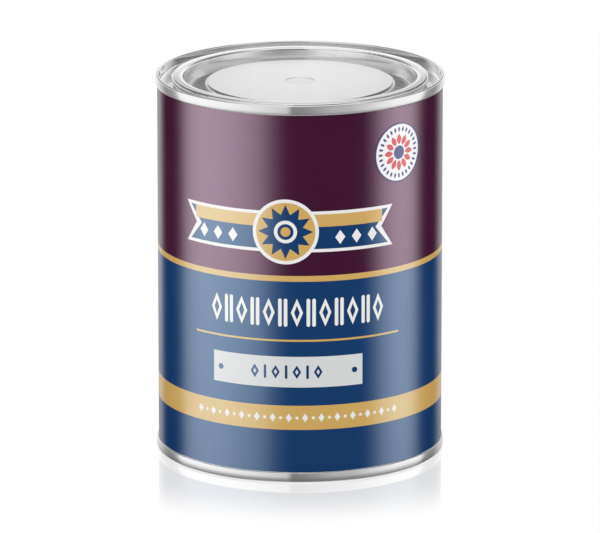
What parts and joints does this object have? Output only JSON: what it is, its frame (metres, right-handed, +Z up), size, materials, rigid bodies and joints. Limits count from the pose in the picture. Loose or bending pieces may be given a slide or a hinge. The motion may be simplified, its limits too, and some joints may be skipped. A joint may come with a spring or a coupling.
{
  "type": "paint tin",
  "caption": "Round lever-lid paint tin with double-seamed ends, a grooved neck ring, a lift-off plug lid and a wrapped printed label.",
  "frame": {"origin": "middle of the tin's foot, on the surface it stands on", "axes": "+Z up through the lid, -Y towards the front of the label, +X to the right of the front"},
  "size_m": [0.101, 0.101, 0.134],
  "materials": {
    "tinplate": "bright tinplate",
    "seam_compound": "matte",
    "stripe_lacquer": "clear gold lacquer",
    "printed_film": "gloss print",
    "sticker_film": "gloss print",
    "plate_film": "satin print"
  },
  "bodies": {
    "tin": {"body_shell": "tinplate", "bottom_end": "tinplate", "neck_ring": "tinplate", "top_seam_compound": "seam_compound", "bottom_seam_compound": "seam_compound", "side_stripe": "stripe_lacquer", "label_wrap": "printed_film", "badge_sticker": "sticker_film", "shade_plate": "plate_film"},
    "lid": {"lever_lid": "tinplate"}
  },
  "joints": [
    {"name": "lid_lift", "type": "slide", "parent": "tin", "child": "lid", "axis": [0, 0, 1], "range_m": [0, 0.12]}
  ]
}
